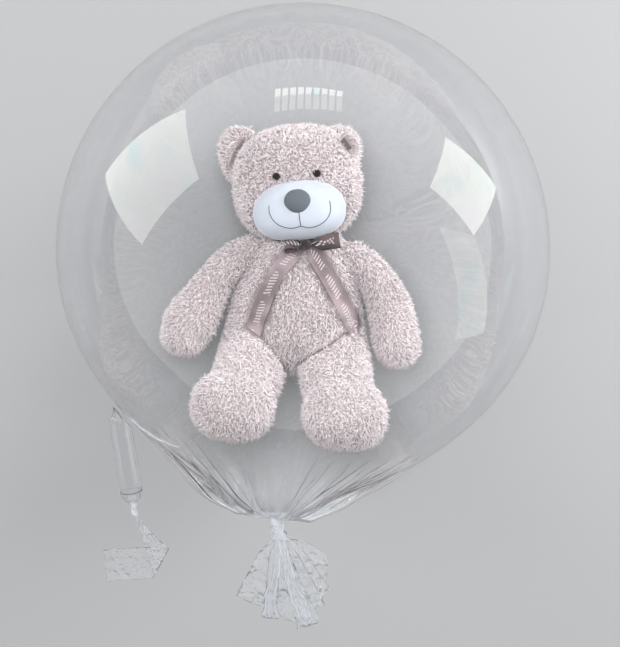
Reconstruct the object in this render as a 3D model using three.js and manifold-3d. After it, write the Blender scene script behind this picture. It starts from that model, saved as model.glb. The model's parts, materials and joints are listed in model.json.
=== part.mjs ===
// A clear bubble balloon lying on its side: one blown film bubble whose wide mouth is gathered, twisted shut and
// fanned out past the twist, and a narrow inflation tube welded to the bubble's edge, puffed up, twisted shut and
// ending in a flat strip that is folded back under itself. Both are sealed, so they are solid here.
//
// Millimetres, +Z up. The origin is the middle of the flat spot that the bubble rests on, straight below its
// centre. The mouth points along -Y, turned a little towards -X.
import * as THREE from "three";
import { mergeVertices } from "three/addons/utils/BufferGeometryUtils.js";
import Module from "manifold-3d";

const wasm = await Module();
wasm.setup();

const degrees = THREE.MathUtils.degToRad;
const clamp = THREE.MathUtils.clamp;
const smallestStep = 0.05; // shorter edges are closed up where solids are joined

// Bubble
const bubbleRadius = 280;
const restSpotRadius = 60; // the film is pressed flat under the weight of what is inside
const centreHeight = Math.sqrt(bubbleRadius ** 2 - restSpotRadius ** 2);
const mouthTurn = degrees(6.7); // of the mouth's axis, from -Y towards -X
const waistAngle = degrees(42); // from the mouth's axis, where the film is drawn in the most
const waistSpread = degrees(23);
const waistDepth = 0.02; // share of the radius
const shoulderAngle = degrees(32); // from the mouth's axis, where the film leaves the sphere
const aroundSteps = 84;
const sphereRings = 21;

// Mouth: in its own frame, with its axis along -Y from the bubble's centre
const throatReach = 303;
const throatRadius = 6;
const puckerCount = 14; // folds of film that run up from the throat and fade out on the shoulder
const puckerDepth = 0.24; // share of the radius, at the throat
const puckerFade = 80;
const lobeRing = 24; // radius at which the film swells past the throat
const rightLobe = 9;
const leftLobe = 4;
const tuckRing = 75; // radius at which the right side is drawn in
const tuckDepth = 7;

// Gather: the twisted rope of film past the throat
const gatherLength = 27;
const gatherLean = 0.48; // sideways for each millimetre along
const gatherEndWidth = 11; // half width, across
const gatherEndDepth = 6;

// Fan: the loose mouth past the gather
const fanFolds = 11;
const fanSpread = degrees(80);
const fanLean = degrees(19); // of its middle, from -Y towards +X
const fanStart = 22; // from the point that its folds spread from
const fanOverlap = 6; // of its root in the gather
const fanLongest = 121;
const fanLongestAt = degrees(25);
const fanLeftCut = 0.33; // how fast it shortens to either side
const fanRightCut = 1.1;
const fanFoldDepth = 12; // half the height of a fold at the cut end
const fanWall = 1.3;
const fanRows = 9;

// Inflation tube: lay-flat film tubing, blown up to a cylinder
const layFlatWidth = 38;
const tubeRadius = layFlatWidth / Math.PI;
const tubeLength = 114.5;
const tubeRootTurn = degrees(50.2); // of its place on the bubble's edge, from -Y towards -X
const tubeRootSink = 4; // how far inside the bubble's surface its axis starts, before it is cut back
const tubeRootRadius = 7;
const tubeLean = degrees(8.2); // from -Y towards +X
const tubeDroop = degrees(12);
const tubeSides = 20;
const weldGap = 0.35;
const twistRadius = 2.8;
const twistLength = 18;

// Strip: the tube's loose end, in the frame of the twist's end
const stripWall = 1.1;
const stripHeading = degrees(29.5); // from -Y towards +X, down to the fold
const stripToFold = 59;
const stripPastFold = 73;
const stripWidensOver = 88;
const foldHeading = degrees(-28); // of the fold's own line
const foldRadius = 2.5;
const stripSlope = 0.28; // downwards, for each millimetre along -Y

const filmMaterial = new THREE.MeshStandardMaterial({
  color: 0xe3eaf0,
  roughness: 0.08,
  metalness: 0,
  transparent: true,
  opacity: 0.28,
});
const tubeMaterial = filmMaterial.clone();
tubeMaterial.color.set(0xd9e2ea);

// A closed three.js geometry as a manifold-3d solid.
function solidFrom(geometry) {
  const bare = geometry.index ? geometry.toNonIndexed() : geometry.clone();
  const positions = new THREE.BufferGeometry().setAttribute("position", bare.getAttribute("position"));
  const merged = mergeVertices(positions, 1e-4);
  return new wasm.Manifold(
    new wasm.Mesh({
      numProp: 3,
      vertProperties: merged.attributes.position.array,
      triVerts: new Uint32Array(merged.index.array),
    }),
  );
}

// A manifold-3d solid as a three.js geometry, with flat faces.
function geometryFrom(solid) {
  const mesh = solid.getMesh();
  const geometry = new THREE.BufferGeometry();
  geometry.setAttribute("position", new THREE.BufferAttribute(new Float32Array(mesh.vertProperties), 3));
  geometry.setIndex(new THREE.BufferAttribute(new Uint32Array(mesh.triVerts), 1));
  const flat = geometry.toNonIndexed();
  flat.computeVertexNormals();
  return flat;
}

// Moves every vertex of a geometry through a function that takes and returns a Vector3.
function bend(geometry, move) {
  const positions = geometry.attributes.position;
  const point = new THREE.Vector3();
  for (let i = 0; i < positions.count; i++) {
    const moved = move(point.fromBufferAttribute(positions, i));
    positions.setXYZ(i, moved.x, moved.y, moved.z);
  }
  return geometry;
}

// A closed slab of even thickness over a grid of points, at(u, v) with u and v from 0 to 1.
function sheetSolid(at, columns, rows, wall) {
  const step = 1e-3;
  const positions = [];
  const faces = [];
  const index = (side, i, j) => (side * (rows + 1) + j) * (columns + 1) + i;
  for (const side of [0.5, -0.5])
    for (let j = 0; j <= rows; j++)
      for (let i = 0; i <= columns; i++) {
        const u = i / columns;
        const v = j / rows;
        const across = at(Math.min(u + step, 1), v).sub(at(Math.max(u - step, 0), v));
        const along = at(u, Math.min(v + step, 1)).sub(at(u, Math.max(v - step, 0)));
        const normal = across.cross(along).normalize();
        positions.push(...at(u, v).addScaledVector(normal, side * wall).toArray());
      }
  const quad = (a, b, c, d) => faces.push(a, b, c, a, c, d);
  for (let j = 0; j < rows; j++)
    for (let i = 0; i < columns; i++) {
      quad(index(0, i, j), index(0, i + 1, j), index(0, i + 1, j + 1), index(0, i, j + 1));
      quad(index(1, i, j), index(1, i, j + 1), index(1, i + 1, j + 1), index(1, i + 1, j));
    }
  for (let i = 0; i < columns; i++) {
    quad(index(0, i + 1, 0), index(0, i, 0), index(1, i, 0), index(1, i + 1, 0));
    quad(index(0, i, rows), index(0, i + 1, rows), index(1, i + 1, rows), index(1, i, rows));
  }
  for (let j = 0; j < rows; j++) {
    quad(index(0, 0, j), index(0, 0, j + 1), index(1, 0, j + 1), index(1, 0, j));
    quad(index(0, columns, j + 1), index(0, columns, j), index(1, columns, j), index(1, columns, j + 1));
  }
  const geometry = new THREE.BufferGeometry();
  geometry.setAttribute("position", new THREE.Float32BufferAttribute(positions, 3));
  geometry.setIndex(faces);
  return geometry;
}

// The bubble's outline, as radius and place along its own axis, with the mouth at the low end.
function bubbleOutline() {
  const outline = [];
  for (let i = 0; i <= sphereRings; i++) {
    const angle = Math.PI - (i / sphereRings) * (Math.PI - shoulderAngle);
    const drawnIn = waistDepth * Math.exp(-(((angle - waistAngle) / waistSpread) ** 2));
    const radius = bubbleRadius * (1 - drawnIn);
    outline.push(new THREE.Vector2(radius * Math.sin(angle), -radius * Math.cos(angle)));
  }
  outline[0].x = 0;
  // The film runs out to the mouth as a blunt cone and tucks back in at the throat.
  const mouth = new THREE.SplineCurve([
    outline.at(-1),
    new THREE.Vector2(98, -268),
    new THREE.Vector2(62, -293),
    new THREE.Vector2(24, -305),
    new THREE.Vector2(throatRadius, -throatReach),
  ]);
  outline.push(...mouth.getPoints(12).slice(1));
  for (const [share, radius] of [
    [0.35, throatRadius * 0.85],
    [0.7, throatRadius],
    [1, gatherEndDepth],
  ])
    outline.push(new THREE.Vector2(radius, -throatReach - share * gatherLength));
  outline.push(new THREE.Vector2(0, -throatReach - gatherLength - 2));
  return outline.reverse();
}

// Folds the film round the throat into puckers, swells it into lobes beside the gather, draws the right shoulder
// in, and leans and flattens the gather.
function gatherMouth(point) {
  const fromThroat = point.y + throatReach;
  const angle = Math.atan2(point.z, point.x);
  const ring = Math.hypot(point.x, point.z);
  const past = clamp(-fromThroat, 0, gatherLength);
  if (point.y > 0) return point.clone();
  const fade = clamp(1 - Math.abs(fromThroat) / puckerFade, 0, 1) * clamp(ring / lobeRing, 0, 1);
  const uneven = 1 + 0.35 * Math.sin(3 * angle + 1);
  const across = 1 + puckerDepth * fade ** 2 * Math.cos(puckerCount * angle) * uneven;
  const hump = (at, width) => Math.exp(-(((ring - at) / width) ** 2));
  const right = clamp(Math.cos(angle), 0, 1) ** 2;
  const left = clamp(-Math.cos(angle), 0, 1) ** 2;
  const lobe = (rightLobe * right + leftLobe * left) * hump(lobeRing, 14);
  const tuck = tuckDepth * right * hump(tuckRing, 35);
  const widen = 1 + (gatherEndWidth / gatherEndDepth - 1) * (past / gatherLength) ** 2;
  return new THREE.Vector3(
    point.x * across * widen + gatherLean * past,
    point.y - (lobe - tuck) * (past > 0 ? 0 : 1),
    point.z * across,
  );
}

function bubbleGeometry() {
  return bend(new THREE.LatheGeometry(bubbleOutline(), aroundSteps), gatherMouth);
}

// How far the loose film past the gather hangs below the bubble's middle.
function droop(distance) {
  return -0.2 * distance - 0.0012 * distance ** 2;
}

function fanPoint(u, v) {
  const fold = u * fanFolds;
  const ridge = Math.abs((fold % 2) - 1) * 2 - 1; // +1 and -1 in turn, straight between
  const uneven = 1 + 0.3 * Math.sin(fold * 2.1);
  const angle = fanLean + (u - 0.5) * fanSpread;
  const off = angle - fanLongestAt;
  const longest = fanLongest * (1 - (off < 0 ? fanLeftCut : fanRightCut) * off ** 2);
  const reach = fanStart + v * (longest - fanStart);
  const rootX = gatherLean * gatherLength - (fanStart + fanOverlap) * Math.sin(fanLean);
  const rootY = -throatReach - gatherLength + (fanStart + fanOverlap) * Math.cos(fanLean);
  const height = fanFoldDepth * (0.18 + 0.82 * v) * ridge * uneven;
  return new THREE.Vector3(
    rootX + reach * Math.sin(angle),
    rootY - reach * Math.cos(angle),
    height + droop(reach - fanStart),
  );
}

function bubbleFilm() {
  const fan = sheetSolid(fanPoint, fanFolds, fanRows, fanWall);
  const whole = geometryFrom(solidFrom(bubbleGeometry()).add(solidFrom(fan)));
  const floor = new THREE.BoxGeometry(4 * restSpotRadius, 4 * restSpotRadius, 40);
  floor.translate(0, 0, -centreHeight - 20);
  const rested = solidFrom(whole.rotateZ(-mouthTurn)).subtract(solidFrom(floor));
  const mesh = new THREE.Mesh(geometryFrom(rested.simplify(smallestStep)), filmMaterial);
  mesh.name = "bubble_film";
  mesh.position.z = centreHeight;
  return mesh;
}

// The inflation tube's outline from its root, as radius and distance, twist included.
function tubeOutline() {
  const shoulder = tubeRadius * 0.7;
  return [
    [0, 0],
    [tubeRootRadius * 0.6, 0],
    [tubeRootRadius, 10],
    [tubeRadius * 0.82, 15],
    [tubeRadius * 0.97, 21],
    [tubeRadius, 30],
    [tubeRadius, tubeLength - shoulder],
    [tubeRadius * 0.93, tubeLength - shoulder * 0.55],
    [tubeRadius * 0.66, tubeLength - shoulder * 0.15],
    [twistRadius * 1.15, tubeLength],
    [twistRadius, tubeLength + twistLength * 0.4],
    [twistRadius * 1.2, tubeLength + twistLength * 0.75],
    [twistRadius * 0.8, tubeLength + twistLength],
    [0, tubeLength + twistLength],
  ].map(([radius, distance]) => new THREE.Vector2(radius, -distance));
}

// The strip laid out flat along its heading, then folded under itself about the fold's line.
function stripPoint(u, v) {
  const along = v * (stripToFold + stripPastFold);
  const narrow = twistRadius / (layFlatWidth / 2);
  const opened = THREE.MathUtils.smoothstep(along, 0, stripWidensOver);
  const width = layFlatWidth * (narrow + (1 - narrow) * opened);
  const heading = new THREE.Vector2(Math.sin(stripHeading), -Math.cos(stripHeading));
  const side = new THREE.Vector2(-heading.y, heading.x);
  const flat = heading.clone().multiplyScalar(along - stripToFold).addScaledVector(side, (u - 0.5) * width);
  const foldLine = new THREE.Vector2(Math.sin(foldHeading), -Math.cos(foldHeading));
  const foldNormal = new THREE.Vector2(-foldLine.y, foldLine.x);
  const past = flat.dot(foldNormal);
  const turned = clamp(past / foldRadius, 0, Math.PI);
  const reach = past <= 0 ? past : foldRadius * Math.sin(turned) - Math.max(0, past - Math.PI * foldRadius);
  const folded = foldLine.multiplyScalar(flat.dot(foldLine)).addScaledVector(foldNormal, reach);
  folded.addScaledVector(heading, stripToFold);
  return new THREE.Vector3(folded.x, folded.y, stripSlope * folded.y - foldRadius * (1 - Math.cos(turned)));
}

function inflationTube() {
  const frame = new THREE.Matrix4().makeRotationZ(tubeLean);
  frame.multiply(new THREE.Matrix4().makeRotationX(tubeDroop));
  const tube = new THREE.LatheGeometry(tubeOutline().reverse(), tubeSides).applyMatrix4(frame);
  const twistEnd = new THREE.Vector3(0, -tubeLength - twistLength + 1, 0).applyMatrix4(frame);
  const strip = sheetSolid(stripPoint, 6, 36, stripWall).translate(...twistEnd.toArray());
  const start = bubbleRadius - tubeRootSink;
  const whole = geometryFrom(solidFrom(tube).add(solidFrom(strip)));
  whole.translate(-start * Math.sin(tubeRootTurn), -start * Math.cos(tubeRootTurn), 0);
  // Its root is cut to the bubble's surface, which it is welded to.
  const grown = (bubbleRadius + weldGap) / bubbleRadius;
  const bubble = bubbleGeometry().scale(grown, grown, grown).rotateZ(-mouthTurn);
  const fitted = solidFrom(whole).subtract(solidFrom(bubble)).simplify(smallestStep);
  const mesh = new THREE.Mesh(geometryFrom(fitted), tubeMaterial);
  mesh.name = "inflation_tube";
  mesh.position.z = centreHeight;
  return mesh;
}

const balloon = new THREE.Group();
balloon.add(bubbleFilm(), inflationTube());

export default balloon;
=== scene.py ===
import json
import math
import random

import bmesh
import bpy
import numpy as np
from mathutils import Matrix, Vector
from mathutils.bvhtree import BVHTree

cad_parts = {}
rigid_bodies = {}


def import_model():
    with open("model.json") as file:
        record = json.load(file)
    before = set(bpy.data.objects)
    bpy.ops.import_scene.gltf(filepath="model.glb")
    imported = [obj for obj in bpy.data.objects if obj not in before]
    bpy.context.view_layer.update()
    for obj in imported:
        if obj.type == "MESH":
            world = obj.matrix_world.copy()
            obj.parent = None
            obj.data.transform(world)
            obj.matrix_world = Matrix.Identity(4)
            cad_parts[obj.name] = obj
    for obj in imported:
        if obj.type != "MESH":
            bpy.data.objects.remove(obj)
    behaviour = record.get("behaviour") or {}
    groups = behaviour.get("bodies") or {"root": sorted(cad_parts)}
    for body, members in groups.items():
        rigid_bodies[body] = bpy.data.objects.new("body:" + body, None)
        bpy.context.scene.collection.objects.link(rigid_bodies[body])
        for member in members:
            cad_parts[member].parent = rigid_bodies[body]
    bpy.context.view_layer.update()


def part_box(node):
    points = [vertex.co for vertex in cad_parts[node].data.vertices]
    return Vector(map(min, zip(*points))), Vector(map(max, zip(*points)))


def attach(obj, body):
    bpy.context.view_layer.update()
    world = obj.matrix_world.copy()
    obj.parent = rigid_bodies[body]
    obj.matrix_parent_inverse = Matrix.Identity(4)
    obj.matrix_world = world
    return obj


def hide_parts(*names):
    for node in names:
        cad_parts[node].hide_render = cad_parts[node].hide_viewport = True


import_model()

mm = 0.001
straightDown = Vector((0, 0, -1))


# small helpers

def rad(degrees):
    return math.radians(degrees)


def ramp(value, start, end):
    t = np.clip((value - start) / (end - start), 0, 1)
    return t * t * (3 - 2 * t)


def hump(value, middle, width):
    return np.exp(-(((value - middle) / width) ** 2))


def newPiece(name, points, faces, material):
    mesh = bpy.data.meshes.new(name)
    mesh.from_pydata([tuple(map(float, p)) for p in points], [], [tuple(map(int, f)) for f in faces])
    mesh.validate()
    mesh.shade_smooth()
    mesh.materials.append(material)
    piece = bpy.data.objects.new(name, mesh)
    bpy.context.scene.collection.objects.link(piece)
    return piece


def outwards(piece):
    shape = bmesh.new()
    shape.from_mesh(piece.data)
    bmesh.ops.remove_doubles(shape, verts=shape.verts, dist=1e-6)
    bmesh.ops.recalc_face_normals(shape, faces=shape.faces)
    shape.to_mesh(piece.data)
    shape.free()


def applyModifiers(piece):
    graph = bpy.context.evaluated_depsgraph_get()
    baked = bpy.data.meshes.new_from_object(piece.evaluated_get(graph))
    piece.modifiers.clear()
    old = piece.data
    baked.name = old.name
    piece.data = baked
    bpy.data.meshes.remove(old)


def thicken(piece, thickness, offset=0):
    wall = piece.modifiers.new("wall", "SOLIDIFY")
    wall.thickness = thickness
    wall.offset = offset
    applyModifiers(piece)


def addValues(piece, name, domain, values):
    piece.data.attributes.new(name, "FLOAT", domain).data.foreach_set("value", values)


def skinTree(piece):
    return BVHTree.FromObject(piece, bpy.context.evaluated_depsgraph_get())


def gridFaces(rows, columns):
    corners = [r * columns + c for r in range(rows - 1) for c in range(columns - 1)]
    return [(k, k + 1, k + columns + 1, k + columns) for k in corners]


def closedRings(rings):
    # rings: rows x around x 3, the first and the last are single points
    rows, around = rings.shape[:2]
    points = [rings[0, 0]] + [p for ring in rings[1:-1] for p in ring] + [rings[-1, 0]]
    last = len(points) - 1
    faces = [(0, 1 + (c + 1) % around, 1 + c) for c in range(around)]
    for r in range(rows - 3):
        low, high = 1 + r * around, 1 + (r + 1) * around
        for c in range(around):
            d = (c + 1) % around
            faces.append((low + c, low + d, high + d, high + c))
    low = 1 + (rows - 3) * around
    faces += [(last, low + c, low + (c + 1) % around) for c in range(around)]
    return points, faces


def withEnds(rings):
    # a point in the middle of the first ring and of the last closes a tube
    ends = [np.repeat(rings[k].mean(0)[None], rings.shape[1], 0) for k in (0, -1)]
    return np.concatenate([ends[:1], rings, ends[1:]])


def closedPiece(name, rings, material):
    points, faces = closedRings(rings)
    piece = newPiece(name, points, faces, material)
    outwards(piece)
    return piece


def splinePoints(controls, count):
    controls = np.array(controls, float)
    spans = len(controls) - 1
    padded = np.vstack([2 * controls[0] - controls[1], controls, 2 * controls[-1] - controls[-2]])
    out = []
    for t in np.linspace(0, spans, count):
        k = min(int(t), spans - 1)
        u = t - k
        a, b, c, d = padded[k : k + 4]
        cubic = 2 * b + (c - a) * u + (2 * a - 5 * b + 4 * c - d) * u * u + (3 * b - a - 3 * c + d) * u**3
        out.append(0.5 * cubic)
    return np.array(out)


def smoothed(values, times):
    # each value drawn between its neighbours, with both ends held
    values = values.copy()
    for repeat in range(times):
        values[1:-1] = (values[:-2] + 2 * values[1:-1] + values[2:]) / 4
    return values


def lengthsAlong(path):
    steps = np.linalg.norm(np.diff(path, axis=0), axis=1)
    return np.concatenate([[0], np.cumsum(steps)])


# materials

def newMaterial(name, **settings):
    material = bpy.data.materials.new(name)
    material.use_nodes = True
    shader = material.node_tree.nodes["Principled BSDF"]
    for socket, value in settings.items():
        shader.inputs[socket].default_value = value
    return material, material.node_tree, shader


def addNode(tree, kind, inputs=None, **settings):
    # inputs: by name or number, each a plain value or a socket to link
    node = tree.nodes.new(kind)
    for key, value in settings.items():
        setattr(node, key, value)
    for key, value in (inputs or {}).items():
        if isinstance(value, bpy.types.NodeSocket):
            tree.links.new(value, node.inputs[key])
        else:
            node.inputs[key].default_value = value
    return node


def objectPlace(tree):
    return addNode(tree, "ShaderNodeTexCoord").outputs["Object"]


def addNoise(tree, **values):
    noise = addNode(tree, "ShaderNodeTexNoise", {"Vector": objectPlace(tree), **values})
    return noise.outputs["Fac"]


def addBump(tree, shader, height, strength, distance):
    bump = addNode(tree, "ShaderNodeBump", {"Height": height, "Strength": strength, "Distance": distance})
    tree.links.new(bump.outputs["Normal"], shader.inputs["Normal"])


def addRange(tree, value, low, high, start=0.0, end=1.0, **settings):
    # value carried from between start and end to between low and high
    limits = {"From Min": start, "From Max": end, "To Min": low, "To Max": high}
    return addNode(tree, "ShaderNodeMapRange", {"Value": value, **limits}, **settings).outputs["Result"]


def addMaths(tree, operation, first, second):
    return addNode(tree, "ShaderNodeMath", {0: first, 1: second}, operation=operation).outputs["Value"]


def addTones(tree, factor, tones):
    # tones: each one's place on the colour ramp, and its colour
    node = addNode(tree, "ShaderNodeValToRGB", {"Fac": factor})
    elements = node.color_ramp.elements
    elements[0].position, elements[0].color = tones[0]
    elements[1].position, elements[1].color = tones[-1]
    for place, colour in tones[1:-1]:
        elements.new(place).color = colour
    return node.outputs["Color"]


# camera

cameraSettings = {
    "height": 2.3,  # above the bubble's middle
    "seenHeight": 0.7376,  # of the picture, at the bubble's middle
    "x": 0.008,
    "y": -0.0826,
}
bubbleRadius = 280
# the underside is pressed flat, so the box's own middle is a little too high
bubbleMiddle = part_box("bubble_film")[1].z - bubbleRadius * mm


def makeCamera():
    data = bpy.data.cameras.new("camera")
    data.sensor_width = 36
    data.lens = data.sensor_width * cameraSettings["height"] / cameraSettings["seenHeight"]
    data.clip_end = 20
    camera = bpy.data.objects.new("camera", data)
    camera.location = (cameraSettings["x"], cameraSettings["y"], bubbleMiddle + cameraSettings["height"])
    bpy.context.scene.collection.objects.link(camera)
    bpy.context.scene.camera = camera


makeCamera()
print("camera set")


# clear film

filmColours = {
    "clearFilm": (0.985, 0.99, 1.0, 1),
    "creasedFilm": (0.96, 0.97, 0.985, 1),
    "gatheredFilm": (0.84, 0.86, 0.89, 1),
}


def newFilm(name, roughness, clearness):
    return newMaterial(
        name,
        **{
            "Base Color": filmColours[name],
            "Roughness": roughness,
            "IOR": 1.45,
            "Transmission Weight": clearness,
        },
    )


def clearFilm():
    return newFilm("clearFilm", 0.0, 1.0)[0]


def creasedFilm():
    # a loose single layer, crumpled into small flat facets with sharp creases between them
    material, tree, shader = newFilm("creasedFilm", 0.03, 0.97)
    place = objectPlace(tree)
    facets = []
    for scale in [48.0, 125.0]:
        values = {"Vector": place, "Scale": scale, "Randomness": 1.0}
        facet = addNode(tree, "ShaderNodeTexVoronoi", values, distance="MANHATTAN")
        facets.append(facet.outputs["Distance"])
    addBump(tree, shader, addMaths(tree, "ADD", *facets), 0.7, 0.004)
    return material


def gatheredFilm():
    # film in many crushed layers scatters light, so it looks whiter; the same whiter film is laid as painted
    # highlight on the tongues round the mouth, the fan's rolls and the welded seam
    material, tree, shader = newFilm("gatheredFilm", 0.14, 0.9)
    addBump(tree, shader, addNoise(tree, Scale=420.0, Detail=4.0), 0.35, 0.0006)
    return material


filmMaterial = clearFilm()
creasedMaterial = creasedFilm()
gatheredAndHighlightMaterial = gatheredFilm()

filmSettings = {
    "radius": bubbleRadius,
    "restRadius": 60,
    "mouthTurn": 6.7,
    "waistAngle": 42,
    "waistSpread": 23,
    "waistDepth": 0.02,
    "shoulderAngle": 32,
    "mouthLine": [(98, -268), (62, -293), (24, -305)],  # from the shoulder in to the throat
    "throatReach": 303,
    "throatRadius": 6,
    "puckers": 14,
    "puckerDepth": 0.24,
    "puckerFade": 80,
    "finePuckers": 37,
    "finePuckerDepth": 0.09,
    "lobeRing": 24,
    "lobeWidth": 14,
    "rightLobe": 9,
    "leftLobe": 4,
    "tuckRing": 75,
    "tuckWidth": 35,
    "tuckDepth": 7,
    "gatherLength": 27,
    "gatherLean": 0.48,
    "gatherEndWidth": 11,
    "gatherEndDepth": 6,
    "twistTurns": 1.1,
    "ropeFolds": 5,
    "ropeFoldDepth": 0.16,
    "around": 288,
    "sphereRings": 60,
    "mouthRings": 36,
    "gatherRings": 14,
    "wall": 0.35,
    "floorGap": 0.2,
}
# the film is crushed white in the rope; the whiter tongues along the puckers that run into it and the long
# bands at the sides of the mouth are painted highlight
crushAndHighlightSettings = {
    "from": 240,  # along the mouth's axis
    "leastReach": 9,  # from the throat
    "tongues": 11,
    "tongueSway": 1.3,
    "tongueReach": 26,
    "sideReach": 62,
    "sideNarrowness": 24,
    "sideFringes": 19,
    "fringeTwist": 0.11,
}
centreHeight = math.sqrt(filmSettings["radius"] ** 2 - filmSettings["restRadius"] ** 2)


def filmOutline():
    s = filmSettings
    outline = []
    for i in range(s["sphereRings"] + 1):
        angle = math.pi - i / s["sphereRings"] * (math.pi - rad(s["shoulderAngle"]))
        drawnIn = s["waistDepth"] * hump(angle, rad(s["waistAngle"]), rad(s["waistSpread"]))
        radius = s["radius"] * (1 - drawnIn)
        outline.append((radius * math.sin(angle), -radius * math.cos(angle)))
    outline[0] = (0, outline[0][1])
    mouth = [outline[-1], *s["mouthLine"], (s["throatRadius"], -s["throatReach"])]
    outline += [tuple(p) for p in splinePoints(mouth, s["mouthRings"] + 1)[1:]]
    for i in range(1, s["gatherRings"] + 1):
        share = i / s["gatherRings"]
        radius = s["throatRadius"] * (1 - 0.15 * math.sin(math.pi * min(1, share / 0.7)))
        outline.append((radius, -s["throatReach"] - share * s["gatherLength"]))
    outline.append((0, outline[-1][1] - 2))
    return np.array(outline)


def gatherMouth(points):
    # points: in the mouth's own frame, its axis along -Y
    s = filmSettings
    x, y, z = points[..., 0], points[..., 1], points[..., 2]
    fromThroat = y + s["throatReach"]
    angle = np.arctan2(z, x)
    ring = np.hypot(x, z)
    past = np.clip(-fromThroat, 0, s["gatherLength"])
    fade = np.clip(1 - np.abs(fromThroat) / s["puckerFade"], 0, 1) * np.clip(ring / s["lobeRing"], 0, 1)
    uneven = 1 + 0.35 * np.sin(3 * angle + 1)
    across = 1 + s["puckerDepth"] * fade**2 * np.cos(s["puckers"] * angle) * uneven
    fine = np.abs(np.sin(s["finePuckers"] / 2 * angle + 0.6 * np.sin(5 * angle))) * 2 - 1
    across = across + s["finePuckerDepth"] * fade * fine * (1 + 0.5 * np.sin(2 * angle + 2))
    right = np.clip(np.cos(angle), 0, 1) ** 2
    left = np.clip(-np.cos(angle), 0, 1) ** 2
    lobe = (s["rightLobe"] * right + s["leftLobe"] * left) * hump(ring, s["lobeRing"], s["lobeWidth"])
    tuck = s["tuckDepth"] * right * hump(ring, s["tuckRing"], s["tuckWidth"])
    widen = 1 + (s["gatherEndWidth"] / s["gatherEndDepth"] - 1) * (past / s["gatherLength"]) ** 2
    # the rope is wrung: its own folds wind round it
    wound = past / s["gatherLength"] * s["twistTurns"] * 2 * math.pi
    rope = 1 + s["ropeFoldDepth"] * np.sin(s["ropeFolds"] * (angle + wound)) * (past > 0)
    front = y < 0
    bentX = x * across * widen * rope + s["gatherLean"] * past
    bentY = y - (lobe - tuck) * (past <= 0)
    bentZ = z * across * rope
    return np.stack([np.where(front, bentX, x), np.where(front, bentY, y), np.where(front, bentZ, z)], -1)


def toBubble(points):
    # from the mouth's own frame, in millimetres, to the part's frame in metres
    turn = rad(-filmSettings["mouthTurn"])
    x = points[..., 0] * math.cos(turn) - points[..., 1] * math.sin(turn)
    y = points[..., 0] * math.sin(turn) + points[..., 1] * math.cos(turn)
    return np.stack([x, y, points[..., 2] + centreHeight], -1) * mm


def makeBubble():
    s = filmSettings
    outline = filmOutline()
    angles = np.linspace(0, 2 * math.pi, s["around"], endpoint=False)
    radii, along = outline[:, :1], np.repeat(outline[:, 1:], s["around"], 1)
    rings = toBubble(gatherMouth(np.stack([radii * np.cos(angles), along, radii * np.sin(angles)], -1)))
    rings[..., 2] = np.maximum(rings[..., 2], s["floorGap"] * mm)
    bubble = closedPiece("bubbleFilm", rings, filmMaterial)
    thicken(bubble, s["wall"] * mm, -1)
    whiten(bubble, crushedOrHighlitAt(np.array([face.center for face in bubble.data.polygons]) / mm))
    return bubble


def crushedOrHighlitAt(places):
    s = crushAndHighlightSettings
    turn, throat = rad(filmSettings["mouthTurn"]), filmSettings["throatReach"]
    across = places[:, 0] * math.cos(turn) - places[:, 1] * math.sin(turn)
    along = -(places[:, 0] * math.sin(turn) + places[:, 1] * math.cos(turn))
    height = places[:, 2] - centreHeight
    angle = np.arctan2(height, across)
    away = np.hypot(np.hypot(across, height), along - throat)
    # the tongues and the side bands paint highlight on the film round the mouth
    streak = np.clip(np.sin(s["tongues"] * angle + s["tongueSway"] * np.sin(3 * angle)), 0, 1) ** 2
    fringe = 0.6 + 0.4 * np.sin(s["sideFringes"] * angle + s["fringeTwist"] * away)
    side = np.abs(np.cos(angle)) ** s["sideNarrowness"] * fringe
    tongues = s["tongueReach"] * streak * (0.6 + 0.4 * np.sin(5 * angle))
    reach = s["leastReach"] + tongues + s["sideReach"] * side
    return (along > throat) | ((away < reach) & (along > s["from"]))


def whiten(piece, crushedOrHighlit):
    # for each face, whether its film is white: crushed film, or whiter film that paints a highlight
    piece.data.materials.append(gatheredAndHighlightMaterial)
    piece.data.polygons.foreach_set("material_index", np.array(crushedOrHighlit).astype(int))


bubbleFilm = makeBubble()
print("bubble blown,", len(bubbleFilm.data.polygons), "faces")


# loose film past the gather: pleated sheets that spread from one point, crumpled like crisp wrapping film

fanSettings = {
    "spreadFrom": (4.8, -303.2),
    "ropeAngle": 17,  # from -Y towards +X, as every fold's is
    "start": 20,
    "openBy": 46,  # distance at which the folds have their full spread
    "rootSpread": 0.55,
    # each fold's angle, lift above the middle and reach at the cut end
    "frontFolds": [
        (-18, 0, 105), (-10, 2, 107), (-2, 5, 109), (-3, 12, 118), (3, 16, 120), (9, 12, 119),
        (7, 5, 110), (15, 7, 126), (21.5, 16, 135), (27, 13, 131), (25, 4, 118), (35, 3, 120),
        (34, 10, 111), (44.5, 8, 106), (44, 0, 86), (53, 2, 83.5), (56, -1, 70),
    ],
    "backFolds": [
        (-17, -4, 103), (-6, -9, 105), (8, -6, 109), (20, -10, 122), (32, -7, 119), (43, -9, 102), (52, -5, 80),
    ],
    "across": 170,
    "along": 52,
    "wall": 0.25,
    "crumple": 4.4,
    "creaseSizes": (13, 6, 3.2),
    "seed": 5,
}


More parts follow.
